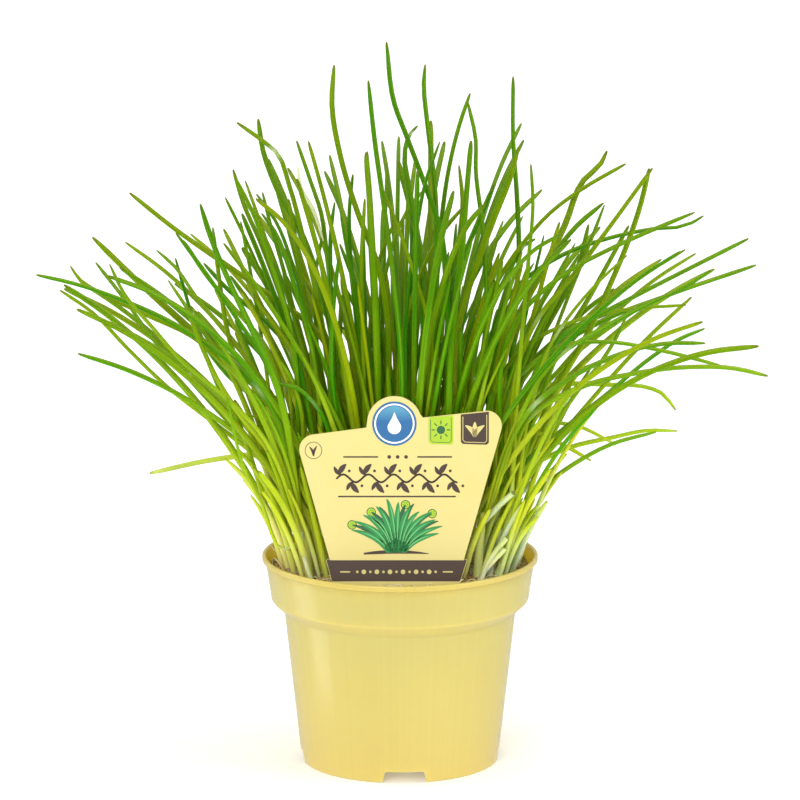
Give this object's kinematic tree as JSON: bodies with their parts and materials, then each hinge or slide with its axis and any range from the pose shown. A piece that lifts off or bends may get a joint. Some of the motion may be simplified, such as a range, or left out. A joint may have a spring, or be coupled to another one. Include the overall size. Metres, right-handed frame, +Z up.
{
  "type": "potted chive plant",
  "caption": "Living chives in a round nursery pot of potting mix: a dense fan of slender tubular leaves behind an upright stick label.",
  "frame": {"origin": "on the ground under the middle of the plant, on the pot's axis", "axes": "+Z up, -Y to the front, where the label faces, +X to the right seen from the front"},
  "size_m": [0.3122, 0.2116, 0.3177],
  "materials": {
    "pot_plastic": "satin",
    "soil": "rough",
    "label_plastic": "satin, printed",
    "chive_leaf": "waxy"
  },
  "bodies": {
    "root": {"pot": "pot_plastic", "potting_mix": "soil", "plant_label": "label_plastic", "chive_plant_01": "chive_leaf", "chive_plant_02": "chive_leaf", "chive_plant_03": "chive_leaf", "chive_plant_04": "chive_leaf", "chive_plant_05": "chive_leaf", "chive_plant_06": "chive_leaf", "chive_plant_07": "chive_leaf", "chive_plant_08": "chive_leaf", "chive_plant_09": "chive_leaf", "chive_plant_10": "chive_leaf", "chive_plant_11": "chive_leaf", "chive_plant_12": "chive_leaf", "chive_plant_13": "chive_leaf", "chive_plant_14": "chive_leaf", "chive_plant_15": "chive_leaf", "chive_plant_16": "chive_leaf", "chive_plant_17": "chive_leaf", "chive_plant_18": "chive_leaf", "chive_plant_19": "chive_leaf", "chive_plant_20": "chive_leaf", "chive_plant_21": "chive_leaf", "chive_plant_22": "chive_leaf", "chive_plant_23": "chive_leaf", "chive_plant_24": "chive_leaf", "chive_plant_25": "chive_leaf", "chive_plant_26": "chive_leaf", "chive_plant_27": "chive_leaf", "chive_plant_28": "chive_leaf", "chive_plant_29": "chive_leaf", "chive_plant_30": "chive_leaf", "chive_plant_31": "chive_leaf", "chive_plant_32": "chive_leaf", "chive_plant_33": "chive_leaf", "chive_plant_34": "chive_leaf", "chive_plant_35": "chive_leaf", "chive_plant_36": "chive_leaf", "chive_plant_37": "chive_leaf", "chive_plant_38": "chive_leaf", "chive_plant_39": "chive_leaf", "chive_plant_40": "chive_leaf"}
  },
  "joints": []
}
